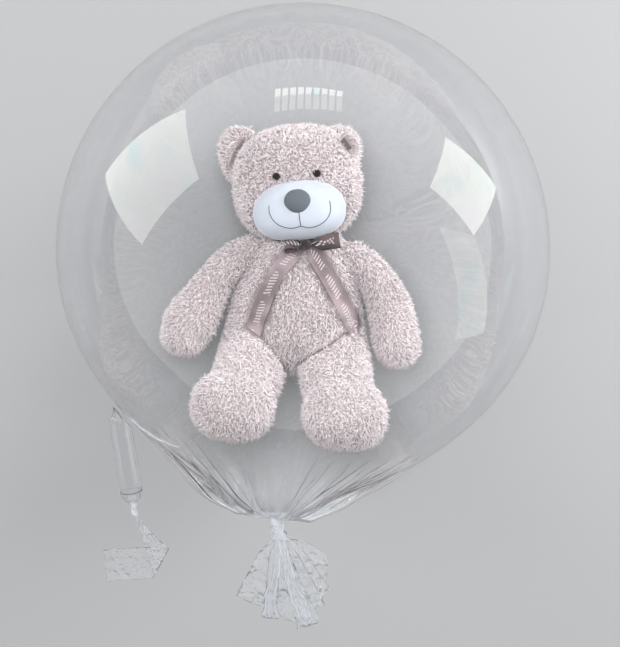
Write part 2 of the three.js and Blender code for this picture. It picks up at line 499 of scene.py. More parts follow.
def crumpled(points, sizes, seed):
    # sharp creases: triangle waves along many random directions; points are (..., 2) in millimetres
    draw = random.Random(seed)
    directions = 3
    total = np.zeros(points.shape[:-1])
    for size in sizes:
        for repeat in range(directions):
            turn = draw.uniform(0, math.pi)
            phase = draw.uniform(0, 1)
            bow = draw.uniform(0.6, 1.4) * size
            drift = 0.4 * np.sin(points[..., 1] / bow + 6 * phase) * math.cos(turn)
            place = (points[..., 0] * math.cos(turn) + points[..., 1] * math.sin(turn)) / size + phase + drift
            total += (2 * np.abs(2 * (place - np.floor(place)) - 1) - 1) * size / sizes[0]
    return total / (directions * len(sizes))


def filmDroop(distance):
    return -0.2 * distance - 0.0012 * distance**2


def pleatedSheet(folds, seed):
    s = fanSettings
    folds = np.array(folds, float)
    u = np.linspace(0, len(folds) - 1, s["across"])
    base = np.minimum(u.astype(int), len(folds) - 2)
    t = u - base
    t = t + 0.12 * np.sin(2 * math.pi * t) / (2 * math.pi)  # the folds are a little rounded
    at = folds[base] * (1 - t)[:, None] + folds[base + 1] * t[:, None]
    v = np.linspace(0, 1, s["along"])[:, None]
    reach = s["start"] + v * (at[:, 2] - s["start"])
    opening = s["rootSpread"] + (1 - s["rootSpread"]) * ramp(reach, s["start"], s["openBy"])
    bowed = 2.2 * np.sin(v * 2.6 + at[:, 0] * 0.2)
    angle = np.radians(s["ropeAngle"] + (at[:, 0] - s["ropeAngle"]) * opening + bowed * v)
    flat = np.stack([np.broadcast_to(u * 7.0, reach.shape), reach], -1)
    rough = crumpled(flat * (1, 0.45), s["creaseSizes"], seed) * s["crumple"] * (0.6 + 0.4 * v)
    lift = at[:, 1] * (0.16 + 0.84 * v**0.8) + rough * 1.6 + filmDroop(reach - s["start"])
    x = s["spreadFrom"][0] + reach * np.sin(angle) + rough * 0.5
    y = s["spreadFrom"][1] - reach * np.cos(angle)
    return np.stack([x, y, lift], -1)


def makeFan():
    s = fanSettings
    sheets = []
    for k, folds in enumerate([s["frontFolds"], s["backFolds"]]):
        grid = toBubble(pleatedSheet(folds, s["seed"] + k))
        sheet = newPiece(f"fanSheet{k}", grid.reshape(-1, 3), gridFaces(*grid.shape[:2]), creasedMaterial)
        thicken(sheet, s["wall"] * mm)
        sheets.append(sheet)
    return sheets


rollSettings = {
    "middle": {
        "angles": (17, 18, 20, 22),  # of the rolled fold, from its root to its end
        "reaches": (10, 44, 86, 130),
        "halfWidths": (5.2, 3.8, 5.0, 8.0),
        "halfDepths": (4.8, 3.4, 3.4, 2.4),
        "lifts": (0, 6, 11, 14),
        "seed": 4,
    },
    "left": {
        "angles": (14, 9, 4, 2.5),
        "reaches": (16, 46, 82, 116),
        "halfWidths": (3.0, 2.4, 4.4, 7.0),
        "halfDepths": (2.8, 2.2, 2.6, 1.8),
        "lifts": (2, 8, 13, 15),
        "seed": 9,
    },
    "folds": 9,
    "foldDepth": 0.36,
    "around": 72,
    "along": 80,
}


def makeRoll(name):
    s = rollSettings
    keys = ["angles", "reaches", "halfWidths", "halfDepths", "lifts"]
    line = splinePoints(list(zip(*[s[name][key] for key in keys])), s["along"])
    draw = random.Random(s[name]["seed"])
    wobble = [draw.uniform(0, 2 * math.pi) for repeat in range(4)]
    around = np.linspace(0, 2 * math.pi, s["around"], endpoint=False)
    rings = []
    for k, (angle, reach, halfWidth, halfDepth, lift) in enumerate(line):
        wound = 2.7 * math.exp(-k / 18)
        bulge = 1 + s["foldDepth"] * np.sin(s["folds"] * (around + wound) + 1.5 * np.sin(2 * around + k * 0.03))
        bulge = bulge * (1 + 0.16 * math.sin(k * 0.31 + wobble[0]) + 0.1 * math.sin(k * 0.73 + wobble[1]))
        across = halfWidth * np.cos(around) * bulge
        turned = rad(angle + 0.9 * math.sin(k * 0.17 + wobble[2]))
        x = fanSettings["spreadFrom"][0] + reach * math.sin(turned) + across * math.cos(turned)
        y = fanSettings["spreadFrom"][1] - reach * math.cos(turned) + across * math.sin(turned)
        z = lift + halfDepth * np.sin(around) * bulge + filmDroop(reach - fanSettings["start"])
        rings.append(np.stack([x, y, z], -1))
    rings = np.array(rings)
    # the far end opens out into uneven points
    opened = ramp(np.arange(len(rings)) / len(rings), 0.72, 1)[:, None]
    ragged = 4.5 * np.abs(np.sin(2.5 * around + wobble[3])) * opened
    outward = (rings[-1] - rings[-2]).mean(0)
    rings = rings + ragged[..., None] * outward / np.linalg.norm(outward)
    # the rolls take the whiter film: in part crushed film, in part painted highlight along the rolled folds
    return closedPiece("fanRoll", toBubble(withEnds(rings)), gatheredAndHighlightMaterial)


def joined(pieces, name):
    target = pieces[0]
    shape = bmesh.new()
    materials = []
    for piece in pieces:
        part = piece.data
        for material in part.materials:
            if material not in materials:
                materials.append(material)
        slots = [materials.index(material) for material in part.materials]
        before = len(shape.faces)
        shape.from_mesh(part)
        shape.faces.ensure_lookup_table()
        for face in shape.faces[before:]:
            face.material_index = slots[face.material_index]
    mesh = bpy.data.meshes.new(name)
    shape.to_mesh(mesh)
    shape.free()
    for material in materials:
        mesh.materials.append(material)
    target.data = mesh
    target.name = name
    for piece in pieces[1:]:
        bpy.data.objects.remove(piece)
    return target


fanFilm = joined(makeFan() + [makeRoll("middle"), makeRoll("left")], "fanFilm")
print("fan pleated,", len(fanFilm.data.polygons), "faces")


# inflation tube, its twist and the folded strip at its end

tubeSettings = {
    "layFlatWidth": 38,
    "length": 114.5,
    "rootTurn": 50.2,
    "rootSink": 4,
    "rootRadius": 7,
    "lean": 8.2,
    "droop": 12,
    "twistRadius": 2.8,
    "twistLength": 18,
    "whitePast": 1.5,  # the tube's length, where the twist starts
    "around": 96,
    "rings": 110,
    "pleats": 15,
    "wall": 0.3,
    "surfaceGap": 0.3,
}
stripSettings = {
    "heading": 29.5,
    "toFold": 59,
    "pastFold": 73,
    "widensOver": 88,
    "foldHeading": -28,
    "whiteTo": 34,
    "foldRadius": 2.5,
    "slope": 0.28,
    "wall": 0.4,
    "across": 36,
    "along": 150,
    "crumple": 3.2,
    "creaseSizes": (17, 7, 3.4),
    "gathersFade": 30,
    "seed": 31,
}


def tubeFrame():
    lean = Matrix.Rotation(rad(tubeSettings["lean"]), 3, "Z")
    droop = Matrix.Rotation(rad(tubeSettings["droop"]), 3, "X")
    return np.array(lean @ droop)


def fromTubeRoot(points):
    # from the tube's own frame to the part's, in metres
    start = filmSettings["radius"] - tubeSettings["rootSink"]
    turn = rad(tubeSettings["rootTurn"])
    root = np.array([-start * math.sin(turn), -start * math.cos(turn), centreHeight])
    return (points + root) * mm


def towards(turn):
    # level, turned from -Y towards +X
    return np.array([math.sin(rad(turn)), -math.cos(rad(turn))])


def makeTube():
    s = tubeSettings
    radius = s["layFlatWidth"] / math.pi
    shoulder = radius * 0.8
    length, twist = s["length"], s["twistLength"]
    outline = splinePoints(
        [
            (s["rootRadius"] * 0.6, 0), (s["rootRadius"], 9), (radius * 0.86, 15), (radius * 0.98, 22),
            (radius, 34), (radius, length - shoulder * 2), (radius * 0.99, length - shoulder * 1.25),
            (radius * 0.92, length - shoulder * 0.75), (radius * 0.7, length - shoulder * 0.3),
            (radius * 0.42, length - shoulder * 0.02), (s["twistRadius"] * 1.2, length + 2.5),
            (s["twistRadius"], length + twist * 0.45),
            (s["twistRadius"] * 1.2, length + twist * 0.75), (s["twistRadius"] * 0.8, length + twist),
        ],
        s["rings"],
    )
    a = np.linspace(0, 2 * math.pi, s["around"], endpoint=False)
    r, d = outline[:, :1], outline[:, 1:]
    pinched = hump(d, length, 13) + 0.9 * hump(d, 4, 11)
    pleats = 0.11 * pinched * (2 * np.abs(np.sin(s["pleats"] / 2 * a + 0.5 * np.sin(3 * a))) - 1)
    edges = 0.05 * (hump(np.cos(a), 1, 0.03) + hump(np.cos(a), -1, 0.03)) * (1 - np.clip(pinched, 0, 1))
    rope = np.where(d > length, 0.3 * np.sin(3 * a + (d - length) * 0.55), 0)
    # lengthwise ridges left by the flat tubing, and puckers beside the weld
    ridges = 0.02 * (np.sin(5 * a + 1) + 0.8 * np.sin(9 * a + 2.2) + 0.5 * np.sin(14 * a)) * (d > 4)
    puckers = 0.10 * hump(d, 9, 9) * np.sin(7 * a + 0.8 * d) * np.sin(4 * a - 0.5 * d)
    r = r * (1 + pleats + edges + rope + ridges + puckers)
    ripple = 0.25 * np.sin(d * 0.55 + 2 * a) * hump(d, 24, 9) + 0.3 * np.sin(d * 0.8) * hump(d, length - 12, 6)
    r = r + ripple
    rings = np.stack([r * np.cos(a), np.broadcast_to(-d, r.shape), r * np.sin(a)], -1)
    rings = fromTubeRoot(withEnds(rings) @ tubeFrame().T)
    # the root is welded to the bubble, so it takes the bubble's own surface
    centre = np.array([0, 0, centreHeight]) * mm
    out = rings - centre
    distance = np.linalg.norm(out, axis=-1, keepdims=True)
    least = (filmSettings["radius"] + s["surfaceGap"]) * mm
    rings = np.where(distance < least, centre + out / distance * least, rings)
    tube = closedPiece("tubeFilm", rings, filmMaterial)
    thicken(tube, s["wall"] * mm, -1)
    axis = tubeFrame() @ np.array([0, -1, 0])
    root = fromTubeRoot(np.zeros(3))
    twistFrom = (length + s["whitePast"]) * mm
    whiten(tube, [(np.array(face.center) - root) @ axis > twistFrom for face in tube.data.polygons])
    return tube


def makeStrip():
    s = stripSettings
    u = np.linspace(0, 1, s["across"])[None, :]
    along = np.linspace(0, s["toFold"] + s["pastFold"], s["along"])[:, None]
    narrow = tubeSettings["twistRadius"] / (tubeSettings["layFlatWidth"] / 2)
    width = tubeSettings["layFlatWidth"] * (narrow + (1 - narrow) * ramp(along, 0, s["widensOver"]))
    heading = towards(s["heading"])
    side = np.array([-heading[1], heading[0]])
    across = (u - 0.5) * width
    flat = heading * (along - s["toFold"])[..., None] + side * across[..., None]
    foldLine = towards(s["foldHeading"])
    foldNormal = np.array([-foldLine[1], foldLine[0]])
    past = flat @ foldNormal
    turned = np.clip(past / s["foldRadius"], 0, math.pi)
    beyond = s["foldRadius"] * np.sin(turned) - np.maximum(0, past - math.pi * s["foldRadius"])
    reach = np.where(past <= 0, past, beyond)
    folded = foldLine * (flat @ foldLine)[..., None] + foldNormal * reach[..., None] + heading * s["toFold"]
    sheet = np.stack([across, np.broadcast_to(along, across.shape)], -1)
    gathers = np.exp(-along / s["gathersFade"])
    rough = crumpled(sheet, s["creaseSizes"], s["seed"]) * s["crumple"] * (1 + 2.2 * gathers)
    pleats = 1.5 * gathers * (2 * np.abs(np.sin(u * 5.5 * math.pi)) - 1)
    z = s["slope"] * folded[..., 1] - s["foldRadius"] * (1 - np.cos(turned)) + (rough + pleats) * np.cos(turned)
    grid = np.stack([folded[..., 0], folded[..., 1], z], -1)
    end = tubeSettings["length"] + tubeSettings["twistLength"] - 1
    grid = fromTubeRoot(grid + tubeFrame() @ np.array([0, -end, 0]))
    strip = newPiece("stripFilm", grid.reshape(-1, 3), gridFaces(*grid.shape[:2]), creasedMaterial)
    thicken(strip, s["wall"] * mm)
    start = grid[0].mean(0)
    crushedOrHighlit = []
    for face in strip.data.polygons:
        away = np.linalg.norm(np.array(face.center) - start) / mm
        crushedOrHighlit.append(away < s["whiteTo"] * (0.55 + 0.45 * math.sin(face.center.x / mm * 1.7)))
    whiten(strip, crushedOrHighlit)
    return strip


tubeFilm = joined([makeTube(), makeStrip()], "tubeFilm")
print("inflation tube made,", len(tubeFilm.data.polygons), "faces")


# welded edge of the film that runs along the bubble from the tube's root

seamSettings = {
    "line": [(-206, -182), (-190, -189), (-177, -199), (-163, -207), (-147, -214), (-133, -218), (-121, -226)],
    "height": 2.4,
    "width": 1.1,
    "section": [(-1, 0), (-0.7, 0.6), (-0.25, 1), (0.25, 1), (0.7, 0.6), (1, 0)],
    "sink": 0.4,
    "leastSize": 0.05,
    "along": 90,
}


def makeSeam():
    s = seamSettings
    tree = skinTree(bubbleFilm)
    middles, normals, sizes = [], [], []
    for k, (x, y) in enumerate(splinePoints(s["line"], s["along"])):
        hit, normal, *rest = tree.ray_cast(Vector((x * mm, y * mm, 1)), straightDown)
        if hit is None:
            hit, normal, *rest = tree.find_nearest(Vector((x * mm, y * mm, centreHeight * mm)))
        share = k / (s["along"] - 1)
        middles.append(np.array(hit))
        normals.append(np.array(normal))
        sizes.append(max(math.sin(math.pi * min(1, 0.12 + share)) ** 0.5, s["leastSize"]))
    middles = smoothed(np.array(middles), 4)
    rings = []
    for k, tangent in enumerate(np.gradient(middles, axis=0)):
        normal = normals[k]
        across = np.cross(tangent, normal)
        across /= np.linalg.norm(across)
        up = normal + across * 0.5 * math.sin(k * 0.31)
        sunk = -normal * s["sink"]
        wide, high = s["width"] / 2, s["height"] * sizes[k]
        rings.append([middles[k] + (across * wide * c + sunk + up * high * h) * mm for c, h in s["section"]])
    # the whiter film on the weld paints the bright line along it: painted highlight
    return closedPiece("weldedSeam", withEnds(np.array(rings)), gatheredAndHighlightMaterial)


weldedSeam = makeSeam()
print("seam laid")


# curly pile: locks of yarn grown over a stuffed part

pileSettings = {
    # the root is dark to paint the shade deep in the pile: painted shade
    "rootShadeColour": (0.58, 0.485, 0.49, 1),
    "middleColour": (0.88, 0.79, 0.805, 1),
    "tipColour": (0.93, 0.875, 0.895, 1),
    # how much darker the colour is painted where the pile is short: painted shade
    "paintedShadeTone": 0.34,
    "kinds": 9,
    "lockWidth": 0.088,  # of a lock's length
    "lockBend": 0.62,
    "lockCurl": 0.4,
    "leastSize": (0.75, 0.75, 0.65),  # of a lock, across and along it
    "mostSize": (1.3, 1.3, 1.4),
    "leastBack": 0.35,  # share of the pile on the sides that face the floor
    "seed": 11,
}


def pileMaterial():
    s = pileSettings
    material, tree, shader = newMaterial(
        "curlyPile",
        **{
            "Roughness": 0.9,
            "Sheen Weight": 0.35,
            "Sheen Roughness": 0.45,
            "Sheen Tint": (1.0, 0.95, 0.95, 1),
            "Specular IOR Level": 0.25,
        },
    )
    along, lockTone, hollow = [
        addNode(tree, "ShaderNodeAttribute", attribute_name=name).outputs["Fac"]
        for name in ["alongLock", "lockTone", "hollow"]
    ]
    # darker towards the root, so the skin and roots between the locks carry painted shade
    shades = addTones(tree, along, [(0, s["rootShadeColour"]), (0.45, s["middleColour"]), (1, s["tipColour"])])
    patches = addRange(tree, addNoise(tree, Scale=22.0, Detail=3.0), 0.92, 1.04, 0.3, 0.7)
    # darker where the pile is short, in creases, where parts meet and beside the ribbons and eyes: painted
    # shade
    patchesAndShade = addMaths(tree, "MULTIPLY", patches, addRange(tree, hollow, 1.0, s["paintedShadeTone"]))
    # random tone of each lock, and painted shade on the short ones
    tone = addMaths(tree, "MULTIPLY", patchesAndShade, addRange(tree, lockTone, 0.78, 1.08))
    shaded = addNode(tree, "ShaderNodeHueSaturation", {"Color": shades, "Value": tone})
    tree.links.new(shaded.outputs["Color"], shader.inputs["Base Color"])
    return material


def lockKinds():
    # a few bent three-sided locks, one unit long, rooted a little below the skin
    draw = random.Random(pileSettings["seed"])
    kinds = bpy.data.collections.new("lockKinds")
    for k in range(pileSettings["kinds"]):
        bend = pileSettings["lockBend"] * draw.uniform(0.3, 1.3)
        curl = pileSettings["lockCurl"] * draw.uniform(-1, 1)
        points, along = [], []
        for t, width in [(-0.12, 0.9), (0.46, 1.0)]:
            for side in range(3):
                a = side / 3 * 2 * math.pi + 0.5 * t
                w = pileSettings["lockWidth"] * width
                points.append((bend * max(t, 0) ** 2 + w * math.cos(a), curl * max(t, 0) + w * math.sin(a), t))
                along.append(max(t, 0))
        points.append((bend, -curl, 1 - 0.3 * bend))
        along.append(1)
        faces = [(0, 2, 1)]
        faces += [(side, (side + 1) % 3, 3 + (side + 1) % 3, 3 + side) for side in range(3)]
        faces += [(3 + side, 3 + (side + 1) % 3, 6) for side in range(3)]
        mesh = bpy.data.meshes.new(f"lock{k}")
        mesh.from_pydata(points, [], faces)
        mesh.shade_smooth()
        lock = bpy.data.objects.new(f"lock{k}", mesh)
        addValues(lock, "alongLock", "POINT", along)
        kinds.objects.link(lock)
    return kinds


def pileTree(kinds, material):
    s = pileSettings
    tree = bpy.data.node_groups.new("growPile", "GeometryNodeTree")
    face, links = tree.interface, tree.links
    face.new_socket("Geometry", in_out="INPUT", socket_type="NodeSocketGeometry")
    for label, kind in [
        ("Spacing", "Float"),
        ("Most per Area", "Float"),
        ("Length", "Float"),
        ("Lean", "Float"),
        ("Flow", "Vector"),
        ("Disorder", "Float"),
        ("Least at Back", "Float"),
        ("Seed", "Int"),
    ]:
        face.new_socket(label, in_out="INPUT", socket_type=f"NodeSocket{kind}")
    face.new_socket("Geometry", in_out="OUTPUT", socket_type="NodeSocketGeometry")
    given = addNode(tree, "NodeGroupInput").outputs

    def node(kind, inputs=None, **settings):
        return addNode(tree, kind, inputs, **settings)

    def drawn(kind, low, high):
        limits = {"Min": low, "Max": high, "Seed": given["Seed"]}
        return node("FunctionNodeRandomValue", limits, data_type=kind).outputs["Value"]

    def scaled(vector, amount):
        return node("ShaderNodeVectorMath", {0: vector, "Scale": amount}, operation="SCALE").outputs["Vector"]

    def added(first, second):
        return node("ShaderNodeVectorMath", {0: first, 1: second}, operation="ADD").outputs["Vector"]

    pile = node("GeometryNodeInputNamedAttribute", {"Name": "pile"}, data_type="FLOAT").outputs["Attribute"]
    normal = node("GeometryNodeInputNormal").outputs["Normal"]
    up = node("ShaderNodeSeparateXYZ", {0: normal}).outputs["Z"]
    facing = addRange(tree, up, given["Least at Back"], 1.0, -0.55, 0.25)
    points = node(
        "GeometryNodeDistributePointsOnFaces",
        {
            "Mesh": given["Geometry"],
            "Distance Min": given["Spacing"],
            "Density Max": given["Most per Area"],
            "Density Factor": addMaths(tree, "MULTIPLY", facing, pile),
            "Seed": given["Seed"],
        },
        distribute_method="POISSON",
    )
    jitter = scaled(drawn("FLOAT_VECTOR", (-1, -1, -1), (1, 1, 1)), given["Disorder"])
    leaning = added(points.outputs["Normal"], scaled(given["Flow"], given["Lean"]))
    heading = added(leaning, jitter)
    aimed = node("FunctionNodeAlignRotationToVector", {"Vector": heading}, axis="Z").outputs["Rotation"]
    spin = drawn("FLOAT_VECTOR", (0, 0, 0), (0, 0, 6.283))
    spun = node("FunctionNodeRotateRotation", {"Rotation": aimed, "Rotate By": spin}, rotation_space="LOCAL")
    length = addMaths(tree, "MULTIPLY", given["Length"], pile)
    kindsInfo = node(
        "GeometryNodeCollectionInfo", {"Collection": kinds, "Separate Children": True, "Reset Children": True}
    )
    locks = node(
        "GeometryNodeInstanceOnPoints",
        {
            "Points": points.outputs["Points"],
            "Instance": kindsInfo.outputs["Instances"],
            "Pick Instance": True,
            "Instance Index": drawn("INT", 0, s["kinds"] - 1),
            "Rotation": spun.outputs["Rotation"],
            "Scale": scaled(drawn("FLOAT_VECTOR", s["leastSize"], s["mostSize"]), length),
        },
    )
    # each lock's tone is random, times the pile's share, so short locks in the hollows between their neighbours
    # are painted darker: painted shade
    toned = node(
        "GeometryNodeStoreNamedAttribute",
        {
            "Geometry": locks.outputs["Instances"],
            "Name": "lockTone",
            "Value": addMaths(tree, "MULTIPLY", drawn("FLOAT", 0.0, 1.0), pile),
        },
        data_type="FLOAT",
        domain="INSTANCE",
    )
    together = node("GeometryNodeJoinGeometry")
    for part in [toned.outputs["Geometry"], given["Geometry"]]:
        links.new(part, together.inputs[0])
    real = node("GeometryNodeRealizeInstances", {"Geometry": together.outputs["Geometry"]})
    dressed = node("GeometryNodeSetMaterial", {"Geometry": real.outputs["Geometry"], "Material": material})
    node("NodeGroupOutput", {0: dressed.outputs["Geometry"]})
    return tree


def growPile(piece, settings, pileAt):
    values = [pileAt(vertex.co / mm) for vertex in piece.data.vertices]
    addValues(piece, "pile", "POINT", values)
    # where the pile is short the skin is painted darker: painted shade
    addValues(piece, "hollow", "POINT", [1 - value for value in values])
    grower = piece.modifiers.new("pile", "NODES")
    grower.node_group = pileGroup
    sockets = {item.name: item.identifier for item in pileGroup.interface.items_tree if item.in_out == "INPUT"}
    for label, value in settings.items():
        grower[sockets[label]] = value
    applyModifiers(piece)
    piece.data.shade_smooth()


pileFabric = pileMaterial()
lockCollection = lockKinds()
pileGroup = pileTree(lockCollection, pileFabric)


# the bear's stuffed parts, in millimetres from the middle of the flat spot

def softForm(name, stations, capStart, capEnd, material, sides=36):
    # stations: x, y, z, half width and half depth along the part's middle line
    steps, capSteps = 30, 7
    line = splinePoints(stations, steps)
    middles, widths, depths = line[:, :3], line[:, 3], line[:, 4]
    tangents = np.gradient(middles, axis=0)
    tangents /= np.linalg.norm(tangents, axis=1)[:, None]
    # each ring's middle, its place along the line and its share of the full size
    places = []
    for k in range(capSteps):
        a = k / capSteps * math.pi / 2
        places.append((middles[0] - tangents[0] * capStart * math.cos(a), 0, math.sin(a)))
    places += [(middles[i], i, 1) for i in range(steps)]
    for k in range(1, capSteps + 1):
        a = k / capSteps * math.pi / 2
        places.append((middles[-1] + tangents[-1] * capEnd * math.sin(a), -1, math.cos(a)))
    angles = np.linspace(0, 2 * math.pi, sides, endpoint=False)[:, None]
    rings = []
    for middle, i, share in places:
        across = np.cross(tangents[i], (0, 0, 1))
        across /= np.linalg.norm(across)
        deep = np.cross(across, tangents[i])
        rings.append(middle + share * (np.cos(angles) * widths[i] * across + np.sin(angles) * depths[i] * deep))
    return closedPiece(name, np.array(rings) * mm, material)


def plumpBall(name, middle, half, power, turn, material, around=56, rings=36, shape=None):
    # a ball whose section is squarer than a circle where power is over 2
    rows = []
    for k in range(rings + 1):
        down = k / rings * math.pi
        row = []
        for c in range(around):
            a = c / around * 2 * math.pi
            d = np.array([math.cos(a) * math.sin(down), math.sin(a) * math.sin(down), math.cos(down)])
            d /= (np.abs(d) ** power).sum() ** (1 / power)
            if shape:
                d = shape(d)
            row.append(d * half)
        rows.append(row)
    rows = np.array(rows)
    turned = rows @ np.array(Matrix.Rotation(turn, 3, "Z")).T + np.array(middle)
    return closedPiece(name, turned * mm, material)


bearSettings = {
    "faceTurn": 6,
    "headMiddle": (-8, 89.5, 86),
    "headHalf": (75, 69, 60),
    "headPower": 2.45,
    "muzzleMiddle": (-4.8, 54.6, 132),
    "muzzleHalf": (56.6, 36.2, 40),
    "muzzlePower": 2.5,
    "leftEar": (-76, 124, 84),
    "leftEarHalf": (24, 34, 17),
    "rightEar": (40.5, 128, 88),
    "rightEarHalf": (24.5, 30, 16),
    "earPower": 2.2,
    "earHollow": 0.85,
    "torso": [
        (-3, 26, 84, 44, 36),
        (-3, 0, 78, 60, 50),
        (-5, -35, 74, 72, 57),
        (-9, -72, 72, 81, 60),
        (-12, -106, 72, 78, 55),
        (-12, -128, 74, 52, 40),
    ],
    "leftArm": [
        (-60, 7, 84, 18, 20),
        (-87, -5, 86, 18, 21),
        (-110, -32, 88, 20, 22),
        (-137, -78, 94, 29, 28),
        (-148, -99, 98, 25, 26),
    ],
    "rightArm": [
        (56, 1, 84, 17, 20),
        (76, -12, 85, 18, 21),
        (97, -42, 87, 21, 24),
        (108, -74, 91, 25, 27),
        (113.5, -104, 96, 26, 26),
    ],
    "leftThigh": [
        (-57, -88, 78, 35, 36),
        (-61, -112, 90, 38, 36),
        (-66, -142, 118, 40, 37),
        (-74, -165, 140, 38, 36),
    ],
    "rightThigh": [
        (34, -88, 78, 35, 36),
        (37, -112, 90, 39, 36),
        (39, -145, 118, 41, 37),
        (44, -172, 140, 38, 36),
    ],
    "leftFoot": (-84.5, -181, 152),
    "rightFoot": (49.5, -192, 155),
    "footHalf": (47.5, 39.5, 37),
    "footPower": 2.3,
    "skinVoxel": 2.6,
}

shortPile = {
    "Spacing": 0.00138,
    "Most per Area": 620000.0,
    "Length": 0.0078,
    "Lean": 0.95,
    "Flow": (0, -1, 0.1),
    "Disorder": 0.8,
    "Least at Back": pileSettings["leastBack"],
}


def fused(pieces, name, voxel):
    # several stuffed lumps become one skin with a soft crease between them
    whole = joined(pieces, name)
    skin = whole.modifiers.new("skin", "REMESH")
    skin.mode = "VOXEL"
    skin.voxel_size = voxel * mm
    applyModifiers(whole)
    soft = whole.modifiers.new("soft", "SMOOTH")
    soft.factor = 0.5
    soft.iterations = 7
    applyModifiers(whole)
    whole.data.materials.clear()
    whole.data.materials.append(pileFabric)
    outwards(whole)
    return whole


def makeLeg(side):
    b = bearSettings
    thigh = softForm(f"{side}Thigh", b[f"{side}Thigh"], 18, 14, pileFabric)
    foot = plumpBall(f"{side}Foot", b[f"{side}Foot"], b["footHalf"], b["footPower"], rad(-4), pileFabric)
    return fused([thigh, foot], f"bear{side.title()}Leg", b["skinVoxel"])


def makeBody():
    b = bearSettings
    return {
        "bearTorso": (softForm("bearTorso", b["torso"], 22, 14, pileFabric, sides=60), (0, -1, 0.1)),
        "bearLeftArm": (softForm("bearLeftArm", b["leftArm"], 10, 20, pileFabric), (-0.5, -0.8, 0)),
        "bearRightArm": (softForm("bearRightArm", b["rightArm"], 10, 30, pileFabric), (0.3, -0.95, 0)),
        "bearLeftLeg": (makeLeg("left"), (-0.2, -0.8, 0.4)),
        "bearRightLeg": (makeLeg("right"), (0.15, -0.8, 0.4)),
    }


def hollowed(d, x, y, depth):
    # a dish pressed into the front of an ear
    pressed = depth * math.exp(-((d[0] - x) ** 2 + (d[1] - y) ** 2) / 0.3) if d[2] > 0 else 0
    return np.array([d[0], d[1], d[2] * (1 - pressed)])


def leftEarShape(d):
    return hollowed(d, 0.35, -0.15, bearSettings["earHollow"])


def rightEarShape(d):
    return hollowed(d, -0.5, -0.35, 0.5 * bearSettings["earHollow"])


def makeHead():
    b = bearSettings
    turn = rad(b["faceTurn"])
    head = plumpBall("bearHead", b["headMiddle"], b["headHalf"], b["headPower"], turn, pileFabric)
    made = {"bearHead": (head, (0, -0.4, 0.5))}
    for side, earTurn, shape, flow in [
        ("left", 12, leftEarShape, (-0.8, 0.5, 0.2)),
        ("right", -20, rightEarShape, (0.7, 0.6, 0.2)),
    ]:
        name, place, half = f"bear{side.title()}Ear", b[f"{side}Ear"], b[f"{side}EarHalf"]
        ear = plumpBall(name, place, half, b["earPower"], rad(earTurn), pileFabric, 48, 30, shape)
        made[name] = (ear, flow)
    return made


def buriedIn(point, trees, depth):
    for tree in trees:
        hit, normal, face, distance = tree.find_nearest(point)
        if (point - hit).dot(normal) < 0 and distance > depth:
            return True
    return False


furred = {**makeBody(), **makeHead()}
skins = {name: skinTree(piece) for name, (piece, flow) in furred.items()}


# muzzle, nose, mouth and eyes

velourSettings = {
    "colour": (0.52, 0.56, 0.63, 1),
    "napScale": 900.0,
    "noseColour": (0.115, 0.13, 0.15, 1),
    "noseHalf": (16.3, 14.7, 10),
    "noseAt": (-7.2, 63.6),
    "eyesAt": [(-32, 94), (15.8, 98)],
    "eyeRadius": 4.7,
    "mouthColour": (0.09, 0.095, 0.105, 1),
    "stitchRadius": 0.52,
    "stitches": [
        [(-5.2, 50), (-4.3, 42), (-3.0, 33.5)],
        [(-41, 58), (-40, 48), (-34, 38.5), (-25, 33), (-14, 31), (-3, 33.5)],
        [(-3, 33.5), (8, 32), (19, 35), (28, 42), (32.5, 52), (31.5, 64)],
    ],
}


def napMaterial(name, colour, roughness, sheen, scale, depth):
    # short brushed nap: fine speckle in colour and height, with soft patches where it has been stroked
    material, tree, shader = newMaterial(
        name,
        **{
            "Roughness": roughness,
            "Sheen Weight": sheen,
            "Sheen Roughness": 0.4,
            "Specular IOR Level": 0.2,
        },
    )
    nap = addNoise(tree, Scale=scale, Detail=2.0)
    patches = addNoise(tree, Scale=38.0, Detail=4.0, Distortion=0.6)
    mixed = addNode(tree, "ShaderNodeMix", {"Factor": 0.45, "A": nap, "B": patches}, data_type="FLOAT")
    dark = tuple(0.86 * c for c in colour[:3]) + (1,)
    tones = addTones(tree, mixed.outputs["Result"], [(0.3, dark), (0.72, colour)])
    tree.links.new(tones, shader.inputs["Base Color"])
    addBump(tree, shader, nap, 0.4, depth)
    return material


def beadMaterial():
    material, tree, shader = newMaterial("eyeBead", **{"Roughness": 0.1, "Specular IOR Level": 0.25})
    cloud = addNoise(tree, Scale=260.0, Detail=2.0)
    tones = addTones(tree, cloud, [(0, (0.003, 0.002, 0.002, 1)), (1, (0.014, 0.009, 0.007, 1))])
    tree.links.new(tones, shader.inputs["Base Color"])
    return material


def muzzleShape(d):
    # narrower towards the brow, with a slight chin
    x, y, z = d
    return np.array([x * (1 - 0.13 * max(y, 0) ** 1.5), y, z * (1 - 0.06 * max(y, 0))])


def noseShape(d):
    # a soft triangle with its point towards the mouth
    x, y, z = d
    return np.array([x * (1 - 0.22 * np.clip(-y, 0, 1) ** 1.4) * (1 - 0.1 * np.clip(y, 0, 1) ** 1.5), y, z])


def onSkin(tree, x, y, lift=0.0):
    hit, normal, *rest = tree.ray_cast(Vector((x * mm, y * mm, 0.5)), straightDown)
    return np.array(hit + normal * lift * mm) / mm, np.array(normal)


